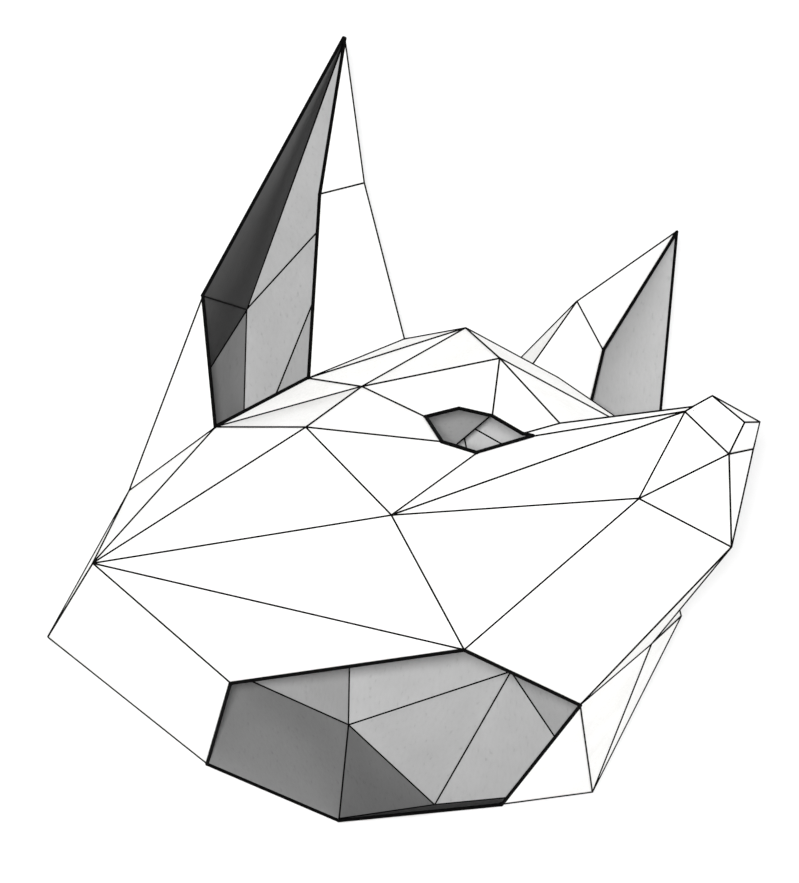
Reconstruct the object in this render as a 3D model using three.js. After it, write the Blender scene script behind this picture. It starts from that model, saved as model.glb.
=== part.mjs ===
// A fox head mask of folded card: a hollow head of flat facets that is pulled on over the wearer's own,
// open at the neck, at both eyes and at the front of both ears. Every piece is a cut and folded sheet,
// and the sheets meet edge to edge along mitred seams. The mask lies on its back with the nose up.

import * as THREE from 'three';

// Driving sizes, in millimetres
const CARD = 1.2; // thickness of the card
const SEAM = 0.3; // gap between two sheets along a seam
const CARD_COLOUR = 0xf4f3ef;
const CARD_ROUGHNESS = 0.85;

// The bridge meets the nose at this share of the way up the nose's back edge.
const NOSE_STEP = 0.3;

// Corners of the fox's right half, as the mask is worn: out from the middle plane, forward of the back
// edge of the neck opening, and up from the plane of that opening.
const CORNERS = {
  //                 out, forward, up
  ear_tip:          [136, 174, 391],
  ear_outer:        [174.5, 121.5, 210.5],
  ear_foot_outer:   [140, 100, 147],
  ear_foot_inner:   [100, 127.5, 187],
  ear_inner:        [114, 136, 307],
  ear_crest:        [86, 140, 328],
  ear_ridge:        [87, 32, 287],
  crown:            [42, 138, 238],
  nape_top:         [43, -14, 202],
  nape_low:         [68, -28, 80],
  neck_back:        [49, 0, 0],
  neck_side:        [100, 90, 2],
  neck_front:       [42, 223, 0],
  jaw_back:         [147.5, -35.5, 56.5],
  cheek_back:       [148, 30, 129],
  cheek_tip:        [187.5, 69, 49],
  cheek_top:        [141, 192, 108],
  muzzle_root:      [96, 218, 62],
  temple:           [87, 164, 172],
  forehead:         [36, 189, 226],
  brow:             [53, 245, 172],
  bridge_top:       [48, 296, 110],
  lip:              [33.5, 347.5, 49],
  nose_side:        [25, 370, 97],
  nose_top:         [17, 382, 105],
  nose_tip:         [0, 389, 94],
  nose_foot:        [0, 379, 79],
  eye_inner_low:    [55, 283, 104],
  eye_inner_high:   [56, 275, 108],
  eye_top_inner:    [61, 253, 127],
  eye_top_outer:    [67, 231, 138],
  eye_outer_high:   [76, 212, 137],
  eye_outer_low:    [84, 240, 105],
  eye_bottom:       [68, 252, 100],
};

// Facets with four or five corners are flat: in this order, each corner named first is moved straight
// on to the plane of the other three.
const FLAT = [
  ['nape_low', 'ear_ridge', 'cheek_back', 'nape_top'],
  ['ear_crest', 'ear_inner', 'ear_foot_inner', 'crown'],
  ['jaw_back', 'cheek_tip', 'neck_side', 'neck_back'],
  ['nose_top', 'bridge_top', 'nose_side', 'eye_inner_low'],
  ['eye_inner_high', 'bridge_top', 'nose_side', 'eye_inner_low'],
  ['eye_top_inner', 'brow', 'bridge_top', 'eye_inner_high'],
  ['eye_top_outer', 'temple', 'brow', 'eye_top_inner'],
  ['eye_bottom', 'nose_side', 'muzzle_root', 'eye_inner_low'],
  ['eye_outer_low', 'muzzle_root', 'cheek_top', 'eye_bottom'],
];

// Pieces that come as a right and a left one. A row is one facet of the right-hand piece, its corners
// anticlockwise as seen from outside.
const PAIRED_PIECES = {
  ear_back: [
    ['cheek_back', 'ear_foot_outer', 'ear_outer'],
    ['ear_outer', 'ear_ridge', 'cheek_back'],
    ['ear_ridge', 'ear_outer', 'ear_tip'],
    ['ear_crest', 'ear_ridge', 'ear_tip'],
    ['ear_crest', 'nape_top', 'ear_ridge'],
  ],
  ear_inner: [
    ['ear_inner', 'ear_crest', 'ear_tip'],
    ['ear_inner', 'ear_foot_inner', 'crown', 'ear_crest'],
    ['ear_crest', 'crown', 'nape_top'],
  ],
  back_side: [
    ['nape_top', 'nape_low', 'cheek_back', 'ear_ridge'],
    ['jaw_back', 'cheek_back', 'nape_low'],
    ['neck_back', 'jaw_back', 'nape_low'],
    ['jaw_back', 'cheek_tip', 'cheek_back'],
  ],
  forehead_side: [
    ['forehead', 'crown', 'ear_foot_inner'],
    ['temple', 'forehead', 'ear_foot_inner'],
    ['temple', 'ear_foot_inner', 'ear_foot_outer'],
  ],
  temple: [
    ['cheek_top', 'temple', 'ear_foot_outer'],
    ['eye_outer_low', 'eye_outer_high', 'temple', 'cheek_top'],
    ['eye_bottom', 'eye_outer_low', 'cheek_top', 'muzzle_root'],
  ],
  brow: [
    ['brow', 'forehead', 'temple'],
    ['eye_outer_high', 'eye_top_outer', 'eye_top_inner', 'brow', 'temple'],
    ['eye_top_inner', 'eye_inner_high', 'bridge_top', 'brow'],
  ],
  muzzle_side: [
    ['eye_inner_high', 'eye_inner_low', 'nose_side', 'bridge_end', 'bridge_top'],
    ['eye_inner_low', 'eye_bottom', 'muzzle_root', 'nose_side'],
    ['lip', 'nose_side', 'muzzle_root'],
    ['neck_front', 'lip', 'muzzle_root'],
  ],
  cheek: [
    ['cheek_tip', 'ear_foot_outer', 'cheek_back'],
    ['cheek_tip', 'cheek_top', 'ear_foot_outer'],
    ['cheek_tip', 'muzzle_root', 'cheek_top'],
  ],
  jaw: [
    ['cheek_tip', 'neck_front', 'muzzle_root'],
    ['cheek_tip', 'neck_side', 'neck_front'],
    ['jaw_back', 'neck_back', 'neck_side', 'cheek_tip'],
  ],
};

// Places of the corners

const place = Object.fromEntries(
  Object.entries(CORNERS).map(([name, [out, forward, up]]) => [name, new THREE.Vector3(-out, -forward, up)]),
);

function planeOf(names) {
  return new THREE.Plane().setFromCoplanarPoints(...names.map((name) => place[name]));
}

for (const [name, ...plane] of FLAT) {
  planeOf(plane).projectPoint(place[name].clone(), place[name]);
}

// The eye's last corner ends the fold between two facets that both pass through the temple.
const overEye = planeOf(['temple', 'brow', 'eye_top_inner']);
const besideEye = planeOf(['cheek_top', 'temple', 'eye_outer_low']);
const fold = new THREE.Vector3().crossVectors(overEye.normal, besideEye.normal).normalize();
place.eye_outer_high.sub(place.temple).projectOnVector(fold).add(place.temple);

// The nose's foot stays on the middle plane and slides forward or back on to the nose's side facet.
const noseSide = planeOf(['nose_top', 'nose_tip', 'nose_side']);
place.nose_foot.y -= noseSide.distanceToPoint(place.nose_foot) / noseSide.normal.y;

place.bridge_end = place.nose_side.clone().lerp(place.nose_top, NOSE_STEP);

// Facets of both halves, with corners named by side

const onMiddle = (name) => place[name].x === 0;
const right = (name) => (onMiddle(name) ? name : `right ${name}`);
const left = (name) => (onMiddle(name) ? name : `left ${name}`);
const rightFacet = (names) => names.map(right);
const leftFacet = (names) => names.map(left).reverse();
const bothFacets = (names) => [rightFacet(names), leftFacet(names)];
const isRight = (name) => name.startsWith('right ');
const otherSide = (name) => (isRight(name) ? name.replace('right', 'left') : name.replace('left', 'right'));

const corner = {};
for (const [name, point] of Object.entries(place)) {
  corner[right(name)] = point;
  corner[left(name)] = point.clone().setX(-point.x);
}

// Facets that run across the middle, one between each pair of neighbouring corners on a line.
function strip(names) {
  return names.slice(1).map((name, i) => [right(name), left(name), left(names[i]), right(names[i])]);
}

const pieces = {
  nose: [
    ...bothFacets(['bridge_end', 'nose_side', 'nose_foot', 'nose_tip', 'nose_top']),
    ['nose_tip', left('nose_top'), right('nose_top')],
  ],
  nose_bridge: strip(['brow', 'bridge_top', 'bridge_end', 'nose_top']),
  forehead_strip: strip(['crown', 'forehead', 'brow']),
  nape_strip: strip(['neck_back', 'nape_low', 'nape_top', 'crown']),
  chin: [
    ...strip(['lip', 'neck_front']),
    ...bothFacets(['lip', 'nose_foot', 'nose_side']),
    ['nose_foot', right('lip'), left('lip')],
  ],
};
for (const [name, facets] of Object.entries(PAIRED_PIECES)) {
  pieces[`${name}_right`] = facets.map(rightFacet);
  pieces[`${name}_left`] = facets.map(leftFacet);
}

// Which facets meet where

const edgesOf = (facet) => facet.map((from, i) => [from, facet[(i + 1) % facet.length]]);
const edgeKey = (from, to) => `${from} > ${to}`;

function normalOf(facet) {
  const sum = new THREE.Vector3();
  for (const [from, to] of edgesOf(facet)) {
    sum.add(new THREE.Vector3().crossVectors(corner[from], corner[to]));
  }
  return sum.normalize();
}

const facetAtEdge = {};
const facetsAtCorner = {};
for (const facet of Object.values(pieces).flat()) {
  for (const [from, to] of edgesOf(facet)) {
    facetAtEdge[edgeKey(from, to)] = facet;
    (facetsAtCorner[from] ??= []).push(facet);
  }
}

// The small move that comes nearest to going a set distance along each of several directions. A heavy
// pull is met before a light one, and EASE keeps the move short where the pulls leave it free.
const EASE = 0.01;

function settle(pulls) {
  const sum = new Array(9).fill(0);
  const goal = new THREE.Vector3();
  for (const { along, by, weight = 1 } of pulls) {
    const n = along.toArray();
    sum.forEach((_, k) => {
      sum[k] += weight * n[Math.floor(k / 3)] * n[k % 3];
    });
    goal.addScaledVector(along, weight * by);
  }
  for (const k of [0, 4, 8]) {
    sum[k] += EASE;
  }
  return goal.applyMatrix3(new THREE.Matrix3().set(...sum).invert());
}

// From an outer corner to the inner one: a card's thickness in from every facet that meets there.
const inward = {};
for (const [name, facets] of Object.entries(facetsAtCorner)) {
  inward[name] = settle(facets.map((facet) => ({ along: normalOf(facet), by: -CARD })));
}

// One folded sheet as a closed body: outer and inner facets, and a wall along its whole edge. Corners on
// a seam draw back from the seam's mitre plane, and keep to the facets and to any cut edge there.
const SEAM_WEIGHT = 1000;
const CUT_EDGE_WEIGHT = 30;

function edgePull(facet, from, to) {
  const normal = normalOf(facet);
  const along = corner[to].clone().sub(corner[from]);
  const neighbour = facetAtEdge[edgeKey(to, from)];
  if (!neighbour) {
    return { along: along.cross(normal).normalize(), by: 0, weight: CUT_EDGE_WEIGHT };
  }
  const mitre = normal.add(normalOf(neighbour)).cross(along).normalize();
  return { along: mitre, by: SEAM / 2, weight: SEAM_WEIGHT };
}

// A facet of the left half is divided as its twin on the right is.
function trianglesOf(facet) {
  if (!facet.some(isRight)) {
    const twins = trianglesOf(facet.map(otherSide).reverse());
    return twins.map((triangle) => triangle.map(otherSide).reverse());
  }
  const normal = normalOf(facet);
  const across = corner[facet[1]].clone().sub(corner[facet[0]]).normalize();
  const upward = new THREE.Vector3().crossVectors(normal, across);
  const flat = facet.map((name) => new THREE.Vector2(corner[name].dot(across), corner[name].dot(upward)));
  return THREE.ShapeUtils.triangulateShape(flat, []).map((triangle) => triangle.map((i) => facet[i]));
}

function sheet(facets) {
  const ownEdges = new Set(facets.flatMap((facet) => edgesOf(facet).map(([from, to]) => edgeKey(from, to))));
  const pulls = {};
  const outline = [];
  for (const facet of facets) {
    for (const [from, to] of edgesOf(facet)) {
      (pulls[from] ??= []).push({ along: normalOf(facet), by: 0 });
      if (!ownEdges.has(edgeKey(to, from))) {
        outline.push({ facet, from, to });
      }
    }
  }
  for (const { facet, from, to } of outline) {
    const pull = edgePull(facet, from, to);
    pulls[from].push(pull);
    pulls[to].push(pull);
  }

  const names = Object.keys(pulls);
  const outer = names.map((name) => corner[name].clone().add(settle(pulls[name])));
  const inner = outer.map((point, i) => point.clone().add(inward[names[i]]));
  const outerIndex = (name) => names.indexOf(name);
  const innerIndex = (name) => names.indexOf(name) + names.length;

  const index = [];
  for (const triangle of facets.flatMap(trianglesOf)) {
    index.push(...triangle.map(outerIndex));
    index.push(...triangle.map(innerIndex).reverse());
  }
  for (const { from, to } of outline) {
    const [low, high] = from < to ? [from, to] : [to, from];
    const wall = [
      [outerIndex(low), outerIndex(high), innerIndex(low)],
      [outerIndex(high), innerIndex(high), innerIndex(low)],
    ];
    for (const triangle of wall) {
      index.push(...(from < to ? triangle.reverse() : triangle));
    }
  }
  const geometry = new THREE.BufferGeometry().setFromPoints([...outer, ...inner]);
  geometry.setIndex(index);
  return geometry;
}

// The mask, turned from upright on to its back until it rests on the nape and the backs of the jaws

const mask = new THREE.Group();
for (const [name, facets] of Object.entries(pieces)) {
  const card = new THREE.MeshStandardMaterial({ color: CARD_COLOUR, roughness: CARD_ROUGHNESS, metalness: 0 });
  const mesh = new THREE.Mesh(sheet(facets), card);
  mesh.name = name;
  mask.add(mesh);
}
const support = place.nape_top.clone().sub(place.jaw_back);
mask.rotation.x = -Math.PI / 2 + Math.atan2(support.y, support.z);
const box = new THREE.Box3().setFromObject(mask, true);
const middle = box.getCenter(new THREE.Vector3());
mask.position.set(0, -middle.y, -box.min.z);

export default mask;
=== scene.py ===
import math

import bmesh
import bpy
from mathutils import Matrix, Vector, noise
from mathutils.geometry import delaunay_2d_cdt
from mathutils.kdtree import KDTree


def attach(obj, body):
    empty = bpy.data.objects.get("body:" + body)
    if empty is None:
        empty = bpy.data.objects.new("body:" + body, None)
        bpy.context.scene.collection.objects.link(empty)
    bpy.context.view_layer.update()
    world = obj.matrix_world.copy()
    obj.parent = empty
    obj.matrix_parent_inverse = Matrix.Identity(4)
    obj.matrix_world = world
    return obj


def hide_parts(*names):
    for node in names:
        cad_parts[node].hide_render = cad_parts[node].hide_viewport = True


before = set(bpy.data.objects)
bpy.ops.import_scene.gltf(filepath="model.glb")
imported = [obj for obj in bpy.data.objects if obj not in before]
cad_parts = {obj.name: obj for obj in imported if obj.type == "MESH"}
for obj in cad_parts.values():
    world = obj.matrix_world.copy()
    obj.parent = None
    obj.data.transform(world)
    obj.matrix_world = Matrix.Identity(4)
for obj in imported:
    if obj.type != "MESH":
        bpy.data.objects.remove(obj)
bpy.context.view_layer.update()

# A fox head mask of folded card. Each sheet of the frame is made again with slightly bowed facets and
# closed seams, with black lines along the folds and a black binding round the openings.

# Sizes in metres
CARD = 0.0012  # thickness of the card
PRESSED = 0.0004  # its thickness at an opening, where it is pressed under the binding
LINE = 0.00105  # thickness of the black line along a fold or seam
BINDING = 0.0022  # thickness of the black binding round an opening
GRID = 0.007  # distance between the points inside a facet
BOW = 0.001  # the most that the card bows between its folds
BOW_REACH = 0.03  # distance from an edge at which the bow is full
BOW_WAVE = 0.075  # length of a wave in the card
SAME_POINT = 0.00005  # points of a solid nearer than this are one
SAME_CORNER = 0.0015  # corners of different sheets nearer than this meet
WELD = 0.000002  # points of a new mesh nearer than this are joined
FLOOR_SIZE = 30

# Shares, counts and angles
SEAM_LEFT = 0.15  # share of the gap between two sheets that stays open
LINE_LIFT = 0.25  # how far the middle of a line stands off the card, as a share of its thickness
LINE_SIDES = 8
LINE_RINGS = 5
FOLD_ANGLE = math.radians(1.65)  # a bend in a sheet over this is a fold
EAR_FOLD_ANGLE = math.radians(0.1)  # the ear's outer fold is almost flat
SHARP_ANGLE = math.radians(4)  # a bend over this is shaded as an edge

# Settings of the triangulation
INSIDE_BORDER = 1  # keeps only the triangles inside the border
TOUCHING = 1e-8

# Points inside the head and inside the left ear, to tell outer faces from inner ones
HEAD_MIDDLE = Vector((0, -0.09, 0.13))
EAR_MIDDLE = Vector((0.105, 0.045, 0.105))

# Painted shade: the grey inside is painted palest on faces turned this way and darker on faces turned from
# it, standing in for a headlight's shading
PAINTED_SHADE_WAY = Vector((-0.6, -0.43, 0.67))

# Painted light and shade: the grey is painted paler at the foot of the left ear, where little light
# reaches, and deeper along this way toward the ear's tip, where the light falls full
LEFT_EAR_PAINTED_LIGHT_WAY = Vector((1, 1, 0))

# Camera of the picture
CAMERA_AT = Vector((-1.01838, -0.81805, 1.62315))
CAMERA_LOOK = Vector((0.50621, 0.41239, -0.75741))
CAMERA_UP = Vector((-0.39165, 0.8924, 0.22414))
CAMERA_LENS = 135.68
CAMERA_REACH = 100

# Light
SURROUND = 0.64
KEY_POWER = 31
KEY_SIZE = 0.09
KEY_BEHIND = 0.1  # how far the key lamp stands behind, left of and above the camera
KEY_LEFT = 0.03
KEY_ABOVE = 0.02
FILL_SOFTNESS = math.radians(70)
FILLS = {  # where each fill light comes from, and its strength
    "low_fill": (Vector((0.84, -0.43, 0.33)), 1.2),
    "high_fill": (Vector((-0.59, 0.57, 0.57)), 0.2),
    "front_fill": (Vector((0.1, 0.9, 0.42)), 0.95),
}

FINISHES = ("card", "inside", "ink", "core")


def ring_edges(ring):
    """Pairs of neighbours round a ring, the last one back to the first."""
    return list(zip(ring, ring[1:] + ring[:1]))


def groups(faces, joined):
    """Faces in groups that hang together over the edges that are joined."""
    left = list(faces)
    found = []
    while left:
        group = [left.pop(0)]
        for face in group:
            for edge in face.edges:
                for other in edge.link_faces:
                    if other in left and joined(edge):
                        left.remove(other)
                        group.append(other)
        found.append(group)
    return found


def outline(group):
    """Corner numbers round a group of faces, in order."""
    after = {}
    for face in group:
        for loop in face.loops:
            if not any(other in group for other in loop.edge.link_faces if other is not face):
                after[loop.vert.index] = loop.link_loop_next.vert.index
    ring = [min(after)]
    while after[ring[-1]] != ring[0]:
        ring.append(after[ring[-1]])
    return ring


def read_sheet(name):
    """Outer and inner corners of a sheet of card, and its facets as rings of corner numbers."""
    middle = HEAD_MIDDLE
    fold_angle = FOLD_ANGLE
    if name.startswith("ear"):
        side = -1 if name.endswith("right") else 1
        middle = Vector((side * EAR_MIDDLE.x, EAR_MIDDLE.y, EAR_MIDDLE.z))
        fold_angle = EAR_FOLD_ANGLE
    mesh = bmesh.new()
    mesh.from_mesh(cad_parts[name].data)
    bmesh.ops.remove_doubles(mesh, verts=mesh.verts, dist=SAME_POINT)
    mesh.verts.index_update()
    mesh.verts.ensure_lookup_table()
    mesh.normal_update()
    tree = KDTree(len(mesh.verts))
    for vert in mesh.verts:
        tree.insert(vert.co, vert.index)
    tree.balance()
    # The nearest other corner lies across the card.
    across = {vert.index: tree.find_n(vert.co, 2)[1][1] for vert in mesh.verts}

    def is_wall(face):
        numbers = [vert.index for vert in face.verts]
        return any(across[number] in numbers for number in numbers)

    def outwardness(side):
        return sum(face.calc_area() * face.normal.dot(face.calc_center_median() - middle) for face in side)

    skin = [face for face in mesh.faces if not is_wall(face)]
    outer = max(groups(skin, lambda edge: True), key=outwardness)
    flats = groups(outer, lambda edge: edge.calc_face_angle(0) < fold_angle)
    facets = [outline(flat) for flat in flats]
    corners = sorted({corner for facet in facets for corner in facet})
    sheet = {
        "outer": {corner: mesh.verts[corner].co.copy() for corner in corners},
        "inner": {corner: mesh.verts[across[corner]].co.copy() for corner in corners},
        "back": {},
        "facets": facets,
        "numbers": {},
        "lines": [],
        "seams": [],
        "rims": [],
    }
    mesh.free()
    return sheet


def join_corners(sheets):
    """Numbers the places where corners of sheets meet, and moves the corners there together until only
    a hairline is left between the sheets."""
    corners = [(sheet, corner) for sheet in sheets.values() for corner in sheet["outer"]]
    tree = KDTree(len(corners))
    for number, (sheet, corner) in enumerate(corners):
        tree.insert(sheet["outer"][corner], number)
    tree.balance()
    moves = []
    for sheet, corner in corners:
        at = sheet["outer"][corner]
        near = tree.find_range(at, SAME_CORNER)
        sheet["numbers"][corner] = min(number for place, number, gap in near)
        middle = sum((place for place, number, gap in near), Vector()) / len(near)
        moves.append((middle - at) * (1 - SEAM_LEFT))
    for (sheet, corner), move in zip(corners, moves):
        sheet["outer"][corner] += move
        sheet["inner"][corner] += move


def ring_normal(points):
    """Direction that a flat ring of points faces."""
    middle = sum(points, Vector()) / len(points)
    return sum(((a - middle).cross(b - middle) for a, b in ring_edges(points)), Vector()).normalized()


def edge_owners(sheets):
    """Sheet name and facet normal at each facet edge, by the numbers of the edge's two corners in order."""
    owners = {}
    for name, sheet in sheets.items():
        for facet in sheet["facets"]:
            normal = ring_normal([sheet["outer"][corner] for corner in facet])
            for edge in ring_edges([sheet["numbers"][corner] for corner in facet]):
                owners[edge] = (name, normal)
    return owners


def press_rims(sheets):
    """Places the corners of each sheet's back. At the openings they lie close to the front, where the
    card is pressed for the binding to go round it."""
    owners = edge_owners(sheets)
    rim = {number for a, b in owners if (b, a) not in owners for number in (a, b)}
    for sheet in sheets.values():
        for corner, number in sheet["numbers"].items():
            outer = sheet["outer"][corner]
            depth = sheet["inner"][corner] - outer
            if number in rim:
                sheet["inner"][corner] = outer + depth * PRESSED / CARD
                depth = depth.normalized() * PRESSED
            sheet["back"][corner] = outer + depth


def sort_edges(sheets):
    """Notes the seams and rims of each sheet. Each line along a fold or seam is noted once, in one of
    the sheets there."""
    owners = edge_owners(sheets)
    drawn = set()
    for name, sheet in sheets.items():
        numbers = sheet["numbers"]
        for a, b in [edge for facet in sheet["facets"] for edge in ring_edges(facet)]:
            normal = owners[numbers[a], numbers[b]][1]
            other_name, other_normal = owners.get((numbers[b], numbers[a]), (None, None))
            if other_name is None:
                sheet["rims"].append((a, b, normal))
                continue
            if other_name != name:
                sheet["seams"].append((a, b))
            if (numbers[b], numbers[a]) not in drawn:
                drawn.add((numbers[a], numbers[b]))
                sheet["lines"].append((a, b, (normal + other_normal).normalized()))


def gap_inside(spot, ring):
    """Distance from a spot to the edges of a polygon, below zero outside it."""
    gap = math.inf
    inside = False
    for a, b in ring_edges(ring):
        along = b - a
        share = min(max((spot - a).dot(along) / along.length_squared, 0), 1)
        gap = min(gap, (spot - a - along * share).length)
        if (a.y > spot.y) != (b.y > spot.y) and spot.x < a.x + (spot.y - a.y) * along.x / along.y:
            inside = not inside
    return gap if inside else -gap


def half_tangent(a, b):
    """Tangent of half the turn from one direction to another."""
    turn = a.x * b.y - a.y * b.x
    return (a.length * b.length - a.dot(b)) / turn if turn else 0


def blended(spot, ring, values):
    """Value at a spot inside a polygon, from the values at its corners (mean value coordinates)."""
    rays = [corner - spot for corner in ring]
    weights = []
    for i in range(len(ring)):
        before = half_tangent(rays[i - 1], rays[i])
        after = half_tangent(rays[i], rays[(i + 1) % len(ring)])
        weights.append((before + after) / rays[i].length)
    return sum(weight * value for weight, value in zip(weights, values)) / sum(weights)


def bow(place, gap):
    """How far the card stands off its flat facet at a place that far from the facet's edges."""
    share = min(gap / BOW_REACH, 1)
    return BOW * share * share * (3 - 2 * share) * noise.noise(place / BOW_WAVE)


def steps_along(a, b):
    """Number of steps into which an edge is divided."""
    return max(1, round((a - b).length / GRID))


def facet_patch(corners, steps, bulge):
    """Triangles of one facet as lists of points, a little bowed between its edges."""
    middle = sum(corners, Vector()) / len(corners)
    rays = [corner - middle for corner in corners]
    normal = ring_normal(corners)
    across = (corners[1] - corners[0]).cross(normal).normalized()
    along = normal.cross(across)
    ring = [Vector((ray.dot(across), ray.dot(along))) for ray in rays]
    lifts = [ray.dot(normal) for ray in rays]
    spots = []
    places = []
    for (a, b), (c, d), count in zip(ring_edges(ring), ring_edges(corners), steps):
        spots += [a.lerp(b, step / count) for step in range(count)]
        places += [c.lerp(d, step / count) for step in range(count)]
    border = ring_edges(list(range(len(spots))))
    row = GRID * math.sqrt(3) / 2
    low = Vector((min(spot.x for spot in ring), min(spot.y for spot in ring)))
    high = Vector((max(spot.x for spot in ring), max(spot.y for spot in ring)))
    for i in range(int((high.y - low.y) / row) + 1):
        for j in range(int((high.x - low.x) / GRID) + 1):
            spot = low + Vector(((j + i % 2 / 2) * GRID, i * row))
            gap = gap_inside(spot, ring)
            if gap > GRID / 2:
                place = middle + across * spot.x + along * spot.y + normal * blended(spot, ring, lifts)
                spots.append(spot)
                places.append(place + normal * bulge * bow(place, gap))
    _, _, triangles, sources, _, _ = delaunay_2d_cdt(spots, border, [], INSIDE_BORDER, TOUCHING)
    return [[places[sources[number][0]] for number in triangle] for triangle in triangles]


def add_line(mesh, a, b, thickness):
    """Thin round line of ink with round ends, drawn out of a small ball."""
    along = b - a
    turn = Vector((0, 0, 1)).rotation_difference(along).to_matrix().to_4x4()
    ball = bmesh.ops.create_uvsphere(
        mesh,
        u_segments=LINE_SIDES,
        v_segments=LINE_RINGS,
        radius=thickness / 2,
        matrix=Matrix.Translation(a) @ turn,
    )["verts"]
    far_half = [vert for vert in ball if (vert.co - a).dot(along) > 0]
    bmesh.ops.translate(mesh, verts=far_half, vec=along)
    for face in {face for vert in ball for face in vert.link_faces}:
        face.material_index = FINISHES.index("ink")


def build_sheet(name, sheet, finishes):
    """The sheet as a mesh: white outside, grey inside, lines along its folds, bound openings."""
    outer = sheet["outer"]
    inner = sheet["inner"]
    back = sheet["back"]
    mesh = bmesh.new()

    def add(points, finish):
        face = mesh.faces.new([mesh.verts.new(point) for point in points])
        face.material_index = FINISHES.index(finish)
        face.smooth = True

    def add_facet(corners, ring, bulge, finish):
        steps = [steps_along(outer[a], outer[b]) for a, b in ring_edges(ring)]
        for points in facet_patch([corners[corner] for corner in ring], steps, bulge):
            add(points, finish)

    for facet in sheet["facets"]:
        add_facet(outer, facet, 1, "card")
        add_facet(back, facet[::-1], -1, "inside")
    for a, b in sheet["seams"] + [(a, b) for a, b, normal in sheet["rims"]]:
        count = steps_along(outer[a], outer[b])
        tops = [outer[a].lerp(outer[b], step / count) for step in range(count + 1)]
        ends = [back[a].lerp(back[b], step / count) for step in range(count + 1)]
        for i in range(count):
            add([tops[i + 1], tops[i], ends[i], ends[i + 1]], "core")
    bmesh.ops.remove_doubles(mesh, verts=mesh.verts, dist=WELD)
    for edge in mesh.edges:
        edge.smooth = edge.calc_face_angle(math.pi) < SHARP_ANGLE
    for a, b, normal in sheet["lines"]:
        lift = normal * LINE * LINE_LIFT
        add_line(mesh, outer[a] + lift, outer[b] + lift, LINE)
        add_line(mesh, inner[a] - lift, inner[b] - lift, LINE)
    for a, b, normal in sheet["rims"]:
        lift = normal * BINDING * LINE_LIFT
        add_line(mesh, outer[a] + lift, outer[b] + lift, BINDING)
    data = bpy.data.meshes.new(name + "_card")
    mesh.to_mesh(data)
    mesh.free()
    for finish in FINISHES:
        data.materials.append(finishes[finish])
    piece = bpy.data.objects.new(name + "_card", data)
    bpy.context.scene.collection.objects.link(piece)
    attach(piece, "root")
    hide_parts(name)


class Finish:
    """A material with its shader, and textures that lie still on the object."""

    def __init__(self, name):
        self.material = bpy.data.materials.new(name)
        self.material.use_nodes = True
        self.nodes = self.material.node_tree.nodes
        self.links = self.material.node_tree.links
        self.shader = self.nodes["Principled BSDF"]
        coordinates = self.nodes.new("ShaderNodeTexCoord")
        self.place = coordinates.outputs["Object"]
        self.normal = coordinates.outputs["Normal"]

    def grain(self, size, detail, stretch=(1, 1, 1), turn=(0, 0, 0)):
        """Noise with grains of that size, drawn out by the stretch."""
        mapping = self.nodes.new("ShaderNodeMapping")
        mapping.inputs["Rotation"].default_value = turn
        mapping.inputs["Scale"].default_value = [1 / (size * share) for share in stretch]
        texture = self.nodes.new("ShaderNodeTexNoise")
        texture.inputs["Scale"].default_value = 1
        texture.inputs["Detail"].default_value = detail
        self.links.new(self.place, mapping.inputs["Vector"])
        self.links.new(mapping.outputs["Vector"], texture.inputs["Vector"])
        return texture.outputs["Fac"]

    def along(self, direction, vector):
        """How far the surface's place or normal reaches along a direction."""
        node = self.nodes.new("ShaderNodeVectorMath")
        node.operation = "DOT_PRODUCT"
        node.inputs[1].default_value = direction
        self.links.new(vector, node.inputs[0])
        return node.outputs["Value"]

    def ramp(self, value, *stops):
        """Grey or colour for a value, from stops of (value, colour)."""
        node = self.nodes.new("ShaderNodeValToRGB")
        elements = node.color_ramp.elements
        while len(elements) < len(stops):
            elements.new(0.5)
        for element, (position, colour) in zip(elements, stops):
            element.position = position
            element.color = (*colour, 1)
        self.links.new(value, node.inputs["Fac"])
        return node.outputs["Color"]

    def times(self, first, second):
        """Product of two colours."""
        node = self.nodes.new("ShaderNodeMix")
        node.data_type = "RGBA"
        node.blend_type = "MULTIPLY"
        node.inputs["Factor"].default_value = 1
        self.links.new(first, node.inputs["A"])
        self.links.new(second, node.inputs["B"])
        return node.outputs["Result"]

    def colour(self, output):
        """Sets the colour of the surface."""
        self.links.new(output, self.shader.inputs["Base Color"])

    def roughness(self, output):
        """Sets how matt the surface is."""
        self.links.new(output, self.shader.inputs["Roughness"])

    def bump(self, height, depth, strength):
        """Gives the surface a relief of that depth."""
        node = self.nodes.new("ShaderNodeBump")
        node.inputs["Distance"].default_value = depth
        node.inputs["Strength"].default_value = strength
        self.links.new(height, node.inputs["Height"])
        self.links.new(node.outputs["Normal"], self.shader.inputs["Normal"])

    def gloss(self, level):
        """Sets how strongly the surface mirrors, the same all over."""
        self.shader.inputs["Specular IOR Level"].default_value = level


def grey(value):
    """Grey as a colour."""
    return (value, value, value)


def card_finish():
    """White card: faint clouds, short fibres two ways, a soft tooth."""
    finish = Finish("white_card")
    clouds = finish.grain(size=0.03, detail=4)
    fibres = finish.grain(size=0.0012, detail=3, stretch=(1, 6, 1), turn=(0.4, 0.2, 0.7))
    threads = finish.grain(size=0.001, detail=3, stretch=(7, 1, 1), turn=(0.9, 0.5, 0.1))
    base = finish.ramp(clouds, (0.35, (0.845, 0.84, 0.825)), (0.65, (0.895, 0.892, 0.882)))
    fine = finish.times(
        finish.ramp(fibres, (0.3, grey(0.95)), (0.6, grey(1))),
        finish.ramp(threads, (0.3, grey(0.95)), (0.6, grey(1))),
    )
    finish.colour(finish.times(base, fine))
    finish.roughness(finish.ramp(clouds, (0.3, grey(0.72)), (0.7, grey(0.86))))
    finish.bump(fine, depth=0.0006, strength=0.3)
    finish.gloss(0.25)
    return finish.material


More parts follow.
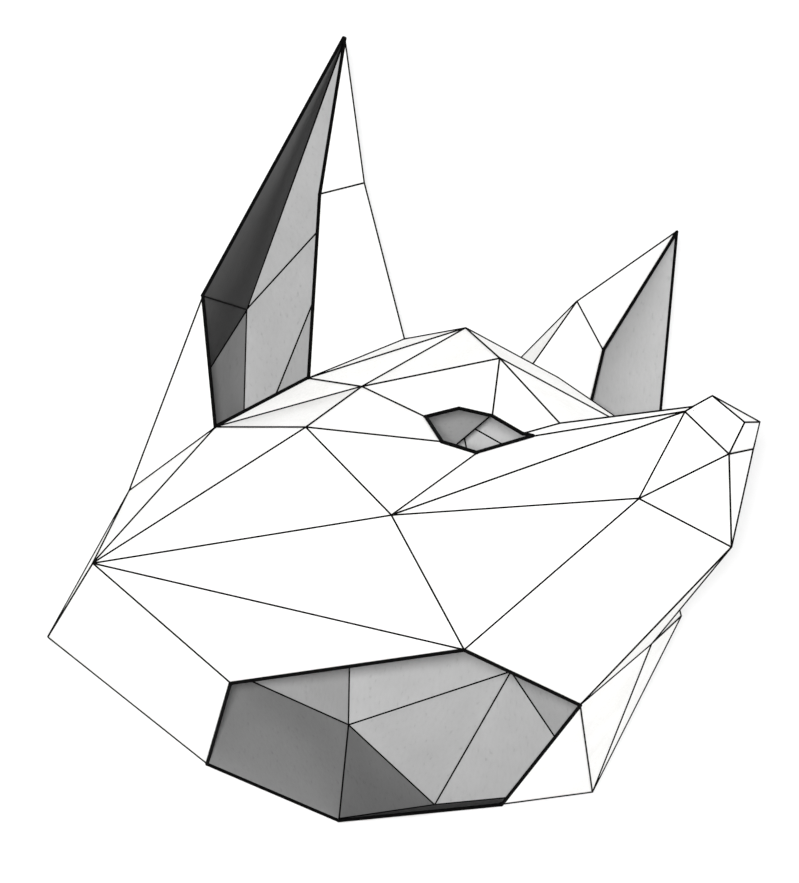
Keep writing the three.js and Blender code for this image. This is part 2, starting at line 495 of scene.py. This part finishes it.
def inside_finish():
    """Back of the card, grey with painted shade: darker on faces turned from the painted-shade way, painted
    paler at the foot of the left ear and deeper toward its tip, with flecks of pulp.
    """
    finish = Finish("grey_back")
    clouds = finish.grain(size=0.025, detail=4)
    flecks = finish.grain(size=0.0022, detail=2, stretch=(1, 2.5, 1), turn=(0.3, 0.8, 0.2))
    turned = finish.along(PAINTED_SHADE_WAY, finish.normal)
    ear_painted_light = finish.along(LEFT_EAR_PAINTED_LIGHT_WAY, finish.place)
    # Painted shade: the facing ramp darkens faces turned away (and a little the faces turned full on), and
    # the ear ramp paints light at the left ear's foot and shade toward its tip
    painted_shade_tone = finish.times(
        finish.ramp(turned, (0, grey(0.112)), (0.9, grey(0.938)), (1, grey(0.7))),
        finish.ramp(ear_painted_light, (0.08, grey(0.714)), (0.14, grey(1)), (0.19, grey(1)), (0.235, grey(0.55))),
    )
    base = finish.times(painted_shade_tone, finish.ramp(clouds, (0.35, grey(0.95)), (0.65, grey(1))))
    fine = finish.ramp(flecks, (0.24, grey(0.84)), (0.36, grey(0.97)), (0.64, grey(1)))
    finish.colour(finish.times(base, fine))
    finish.roughness(finish.ramp(clouds, (0.3, grey(0.85)), (0.7, grey(0.95))))
    finish.bump(flecks, depth=0.0005, strength=0.35)
    finish.gloss(0.2)
    return finish.material


def ink_finish():
    """Black printing ink, a little thin where the card's tooth shows through."""
    finish = Finish("black_ink")
    wear = finish.grain(size=0.0015, detail=3)
    finish.colour(finish.ramp(wear, (0.45, grey(0.002)), (0.7, grey(0.005)), (0.8, grey(0.02))))
    finish.roughness(finish.ramp(wear, (0.3, grey(0.5)), (0.7, grey(0.7))))
    finish.gloss(0.01)
    return finish.material


def core_finish():
    """Cut edge of the card."""
    finish = Finish("card_core")
    plies = finish.grain(size=0.0008, detail=2, stretch=(1, 5, 5))
    finish.colour(finish.ramp(plies, (0.35, grey(0.4)), (0.65, grey(0.55))))
    finish.roughness(finish.ramp(plies, (0.3, grey(0.85)), (0.7, grey(0.95))))
    return finish.material


def floor_finish():
    """Plain pale studio floor."""
    finish = Finish("pale_floor")
    clouds = finish.grain(size=0.4, detail=3)
    finish.colour(finish.ramp(clouds, (0.3, grey(0.86)), (0.7, grey(0.88))))
    finish.roughness(finish.ramp(clouds, (0.3, grey(0.85)), (0.7, grey(0.9))))
    return finish.material


def add_floor():
    """Wide flat floor that the mask lies on."""
    half = FLOOR_SIZE / 2
    corners = [(-half, -half, 0), (half, -half, 0), (half, half, 0), (-half, half, 0)]
    data = bpy.data.meshes.new("floor")
    data.from_pydata(corners, [], [(0, 1, 2, 3)])
    data.materials.append(floor_finish())
    floor = bpy.data.objects.new("floor", data)
    bpy.context.scene.collection.objects.link(floor)


def facing(look, up):
    """Rotation that looks along one direction with another one upward."""
    back = -look.normalized()
    right = up.cross(back).normalized()
    return Matrix((right, back.cross(right), back)).transposed()


def add_camera():
    """Camera that looks up into the neck opening from the fox's right."""
    data = bpy.data.cameras.new("camera")
    data.lens = CAMERA_LENS
    data.clip_end = CAMERA_REACH
    camera = bpy.data.objects.new("camera", data)
    camera.matrix_world = Matrix.Translation(CAMERA_AT) @ facing(CAMERA_LOOK, CAMERA_UP).to_4x4()
    bpy.context.scene.collection.objects.link(camera)
    bpy.context.scene.camera = camera


def add_lamp(name, kind, turn, at, energy):
    """Lamp of a kind at a place, turned as told, and its settings."""
    data = bpy.data.lights.new(name, kind)
    data.energy = energy
    lamp = bpy.data.objects.new(name, data)
    lamp.matrix_world = Matrix.Translation(at) @ turn.to_4x4()
    bpy.context.scene.collection.objects.link(lamp)
    return data


def add_studio():
    """White surroundings, a key lamp close to the camera that reaches into the openings, soft fills."""
    scene = bpy.context.scene
    scene.world = bpy.data.worlds.new("studio")
    scene.world.use_nodes = True
    surround = scene.world.node_tree.nodes["Background"]
    surround.inputs["Color"].default_value = (1, 1, 1, 1)
    surround.inputs["Strength"].default_value = SURROUND
    scene.view_settings.view_transform = "Standard"
    right = CAMERA_LOOK.cross(CAMERA_UP)
    at = CAMERA_AT - CAMERA_LOOK * KEY_BEHIND - right * KEY_LEFT + CAMERA_UP * KEY_ABOVE
    key = add_lamp("key", "AREA", facing(CAMERA_LOOK, CAMERA_UP), at, KEY_POWER)
    key.shape = "DISK"
    key.size = KEY_SIZE
    for name, (source, strength) in FILLS.items():
        fill = add_lamp(name, "SUN", facing(-source, CAMERA_UP), source, strength)
        fill.angle = FILL_SOFTNESS


sheets = {name: read_sheet(name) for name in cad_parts}
join_corners(sheets)
press_rims(sheets)
sort_edges(sheets)
finishes = {"card": card_finish(), "inside": inside_finish(), "ink": ink_finish(), "core": core_finish()}
for name, sheet in sheets.items():
    build_sheet(name, sheet, finishes)
add_floor()
add_camera()
add_studio()
